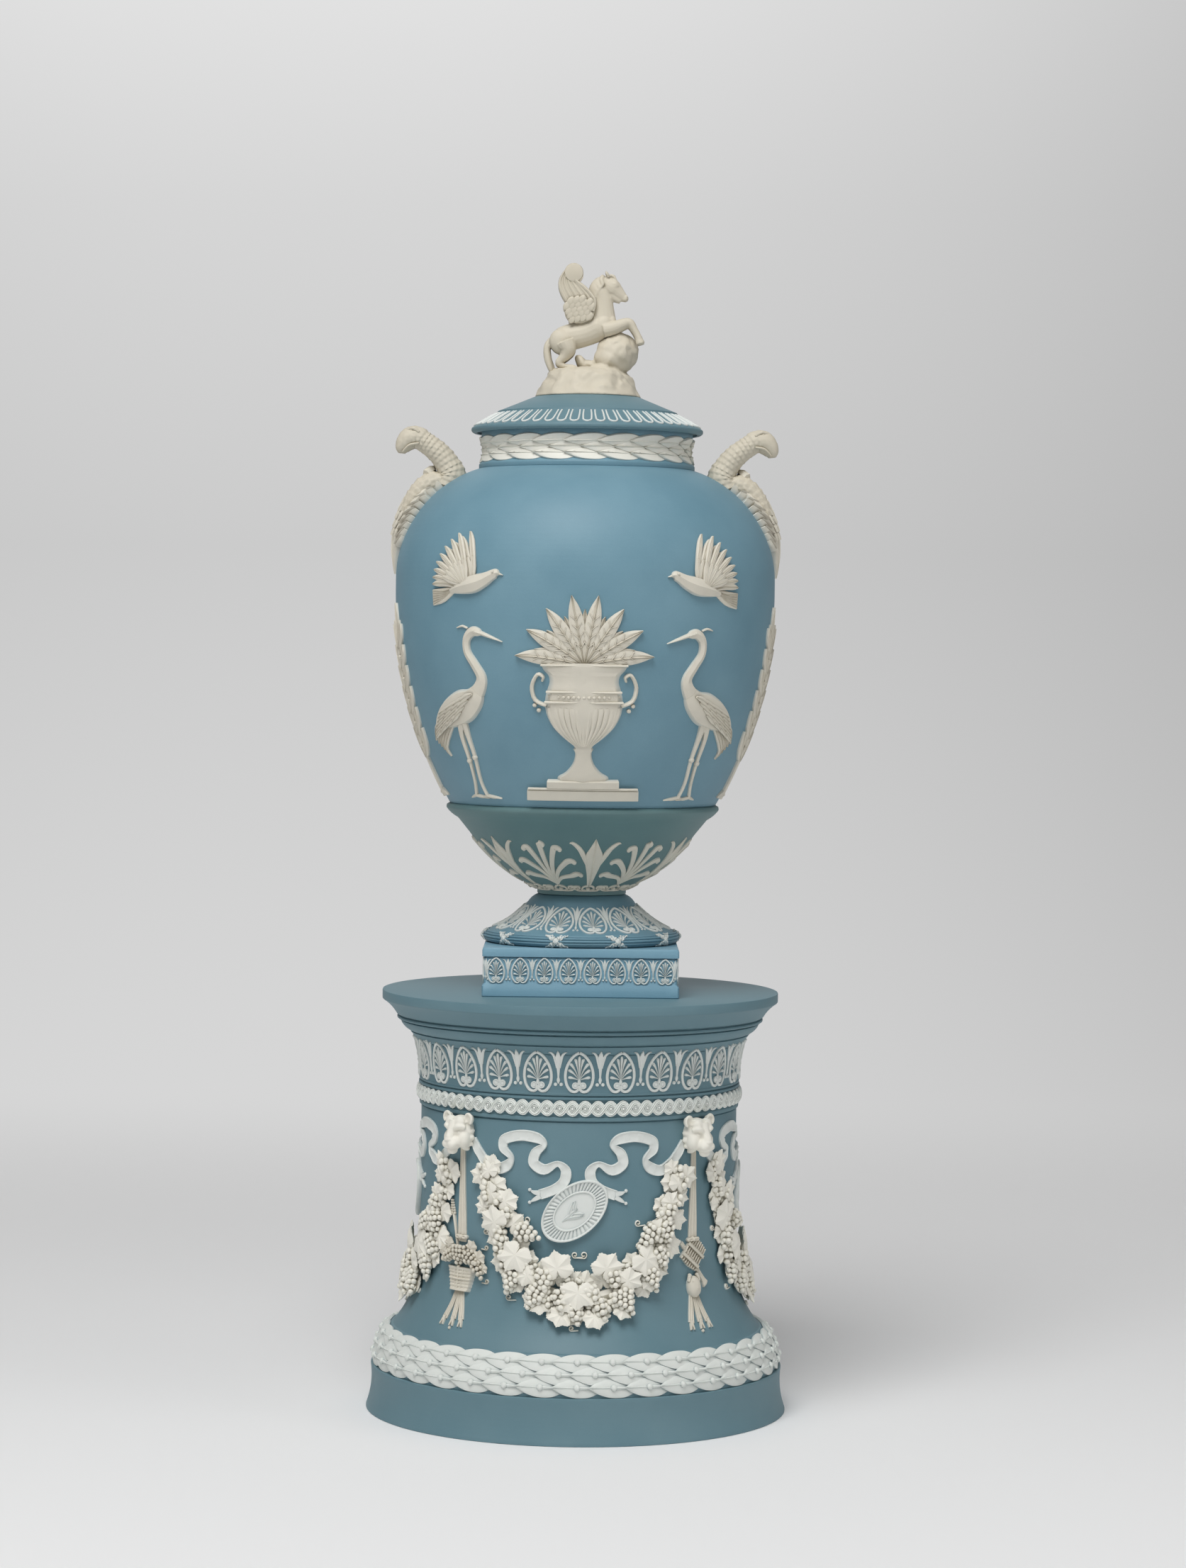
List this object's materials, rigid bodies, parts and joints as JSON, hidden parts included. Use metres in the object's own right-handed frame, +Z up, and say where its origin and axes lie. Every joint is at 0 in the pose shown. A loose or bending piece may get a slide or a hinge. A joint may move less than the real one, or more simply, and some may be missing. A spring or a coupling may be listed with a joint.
{
  "type": "urn vase",
  "caption": "Covered urn vase in blue unglazed stoneware with white applied reliefs, serpent handles, winged-horse lid and a matching round pedestal, for display.",
  "frame": {"origin": "centre of the pedestal's foot, on the surface it stands on", "axes": "+Z up through the lid's finial, the main relief faces -Y, the handles lie along X"},
  "size_m": [0.228, 0.228, 0.6201],
  "materials": {
    "blue_stoneware": "matte",
    "white_stoneware": "matte",
    "brass": "satin",
    "leather": "matte"
  },
  "bodies": {
    "pedestal": {"base_course": "blue_stoneware", "pedestal_drum": "blue_stoneware", "cornice": "blue_stoneware", "base_laurel_band": "white_stoneware", "guilloche_band": "white_stoneware", "drum_palmettes": "white_stoneware", "drum_lotuses": "white_stoneware", "lion_mask_1": "white_stoneware", "lion_mask_2": "white_stoneware", "lion_mask_3": "white_stoneware", "lion_mask_4": "white_stoneware", "garland_1": "white_stoneware", "garland_2": "white_stoneware", "garland_3": "white_stoneware", "garland_4": "white_stoneware", "medallion_1": "white_stoneware", "medallion_2": "white_stoneware", "medallion_3": "white_stoneware", "medallion_4": "white_stoneware", "ribbon_pair_1": "white_stoneware", "ribbon_pair_2": "white_stoneware", "ribbon_pair_3": "white_stoneware", "ribbon_pair_4": "white_stoneware", "basket_trophy_1": "white_stoneware", "basket_trophy_2": "white_stoneware", "pipe_trophy_1": "white_stoneware", "pipe_trophy_2": "white_stoneware"},
    "vase": {"plinth": "blue_stoneware", "plinth_palmettes": "white_stoneware", "plinth_lotuses": "white_stoneware", "foot": "blue_stoneware", "foot_palmettes": "white_stoneware", "foot_lotuses": "white_stoneware", "foot_ribbons": "white_stoneware", "bowl": "blue_stoneware", "bowl_lotuses": "white_stoneware", "bowl_palmettes": "white_stoneware", "bowl_scrolls": "white_stoneware", "body": "blue_stoneware", "urn_relief_1": "white_stoneware", "urn_relief_2": "white_stoneware", "crane_reliefs": "white_stoneware", "dove_reliefs": "white_stoneware", "tree_reliefs": "white_stoneware", "neck_collar": "blue_stoneware", "neck_laurel_band": "white_stoneware", "leaf_mount_right": "white_stoneware", "leaf_mount_left": "white_stoneware", "serpents_right": "white_stoneware", "serpents_left": "white_stoneware", "tie_bolt": "brass", "tie_nut": "brass", "bowl_washer": "leather", "plinth_washer": "leather"},
    "lid": {"lid": "blue_stoneware", "lid_tongues": "white_stoneware", "finial_rock": "white_stoneware", "winged_horse": "white_stoneware", "wings": "white_stoneware"}
  },
  "joints": [
    {"name": "vase_lift", "type": "slide", "parent": "pedestal", "child": "vase", "axis": [0, 0, 1], "range_m": [0, 0.1]},
    {"name": "lid_lift", "type": "slide", "parent": "vase", "child": "lid", "axis": [0, 0, 1], "range_m": [0, 0.1]}
  ]
}
